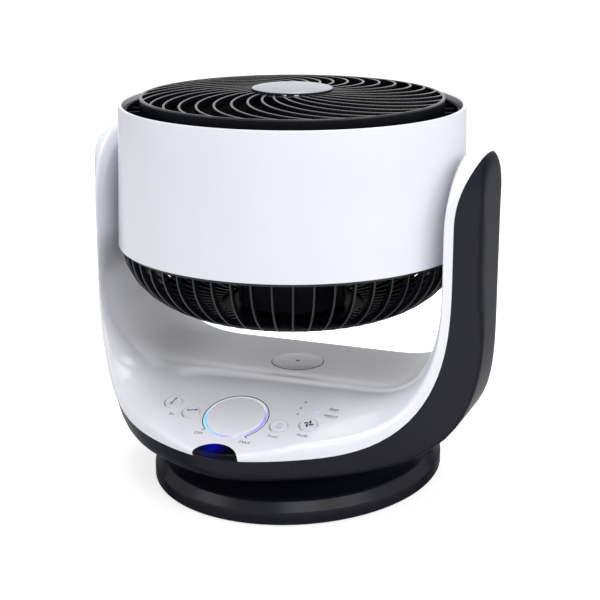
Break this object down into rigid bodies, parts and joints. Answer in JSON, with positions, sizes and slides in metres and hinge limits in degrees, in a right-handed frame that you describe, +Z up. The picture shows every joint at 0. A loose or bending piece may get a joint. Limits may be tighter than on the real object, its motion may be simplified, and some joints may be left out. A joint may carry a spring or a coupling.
{
  "type": "air circulator fan",
  "caption": "Table-top air circulator: round fan head tilting in a two-tone U-shaped yoke that turns on an oval foot, with a dial and buttons.",
  "frame": {"origin": "on the floor under the swivel axis, at the underside of the middle foot pad", "axes": "+Z up; -Y to the front, where the control panel is; +X along the tilt axis, towards the right arm as seen from the front"},
  "size_m": [0.3262, 0.3178, 0.3244],
  "materials": {
    "dark_gloss": "polished injection-moulded ABS",
    "dark_satin": "fine-textured moulded plastic",
    "white_gloss": "polished injection-moulded ABS",
    "silver": "satin silver lacquer",
    "window_navy": "tinted acrylic",
    "diffuser": "translucent light guide",
    "lens": "clear light pipe",
    "board": "solder-masked board",
    "nylon": "natural nylon",
    "motor_grey": "plated steel can",
    "screw_steel": "zinc plated",
    "shaft_steel": "ground",
    "weight_iron": "as cast, painted",
    "pad_rubber": "moulded"
  },
  "bodies": {
    "base": {"foot_shell": "dark_gloss", "foot_plate": "dark_satin", "foot_pads": "pad_rubber", "foot_screws": "screw_steel", "foot_weight": "weight_iron", "power_inlet": "dark_satin", "swivel_spindle": "shaft_steel", "spindle_screws": "screw_steel", "swivel_gear": "nylon", "swivel_collar": "nylon", "swivel_bearing": "nylon"},
    "yoke": {"inner_cover": "white_gloss", "outer_shell": "dark_gloss", "display_window": "window_navy", "saddle_disc": "white_gloss", "light_ring": "diffuser", "indicator_lenses": "lens", "control_frame": "dark_satin", "control_board": "board", "main_board": "board", "swivel_carrier": "dark_satin", "swivel_motor": "motor_grey", "shell_screws": "screw_steel", "tilt_motor": "motor_grey", "tilt_bush_left": "nylon", "tilt_bush_right": "nylon"},
    "head": {"drum_shell": "white_gloss", "duct_ring": "dark_satin", "front_grille": "dark_gloss", "hub_cap": "silver", "grille_screws": "screw_steel", "rear_grille": "dark_gloss", "motor_housing": "motor_grey", "motor_screws": "screw_steel", "pivot_boss_left": "dark_satin", "pivot_boss_right": "dark_satin", "trunnion_left": "nylon", "trunnion_right": "nylon", "tilt_gear": "nylon"},
    "fan": {"motor_shaft": "shaft_steel", "fan_blade": "dark_satin", "blade_nut": "dark_satin"},
    "dial": {"dial": "white_gloss"},
    "button_tilt": {"button_tilt": "white_gloss"},
    "button_swivel": {"button_swivel": "white_gloss"},
    "button_timer": {"button_timer": "white_gloss"},
    "button_mode": {"button_mode": "white_gloss"},
    "tilt_pinion": {"tilt_pinion": "nylon"},
    "swivel_pinion": {"swivel_pinion": "nylon"}
  },
  "joints": [
    {"name": "swivel", "type": "hinge", "parent": "base", "child": "yoke", "pos_m": [0, 0, 0.044], "axis": [0, 0, 1], "range_deg": [-40, 40]},
    {"name": "swivel_drive", "type": "hinge", "parent": "yoke", "child": "swivel_pinion", "pos_m": [0, 0.036, 0.054], "axis": [0, 0, 1], "range_deg": [-120, 120]},
    {"name": "tilt", "type": "hinge", "parent": "yoke", "child": "head", "pos_m": [0, 0, 0.242], "axis": [1, 0, 0], "range_deg": [0, 90]},
    {"name": "tilt_drive", "type": "hinge", "parent": "yoke", "child": "tilt_pinion", "pos_m": [0.148, 0, 0.209], "axis": [1, 0, 0], "range_deg": [-240, 0]},
    {"name": "fan_spin", "type": "hinge", "parent": "head", "child": "fan", "pos_m": [0, 0, 0.2], "axis": [0, 0, 1], "continuous": true},
    {"name": "dial_turn", "type": "hinge", "parent": "yoke", "child": "dial", "pos_m": [0, -0.1194, 0.086], "axis": [0, -0.3338, 0.9426], "range_deg": [-290, 0]},
    {"name": "button_tilt_press", "type": "slide", "parent": "yoke", "child": "button_tilt", "axis": [0, 0.3338, -0.9426], "range_m": [0, 0.0008], "stiffness_N_per_m": 600, "springref_m": -0.0006},
    {"name": "button_swivel_press", "type": "slide", "parent": "yoke", "child": "button_swivel", "axis": [0, 0.3338, -0.9426], "range_m": [0, 0.0008], "stiffness_N_per_m": 600, "springref_m": -0.0006},
    {"name": "button_timer_press", "type": "slide", "parent": "yoke", "child": "button_timer", "axis": [0, 0.3338, -0.9426], "range_m": [0, 0.0008], "stiffness_N_per_m": 600, "springref_m": -0.0006},
    {"name": "button_mode_press", "type": "slide", "parent": "yoke", "child": "button_mode", "axis": [0, 0.3338, -0.9426], "range_m": [0, 0.0008], "stiffness_N_per_m": 600, "springref_m": -0.0006}
  ],
  "couplings": [
    {"joint": "swivel_drive", "follows": "swivel", "ratio": 3},
    {"joint": "tilt_drive", "follows": "tilt", "ratio": -2.6667}
  ]
}
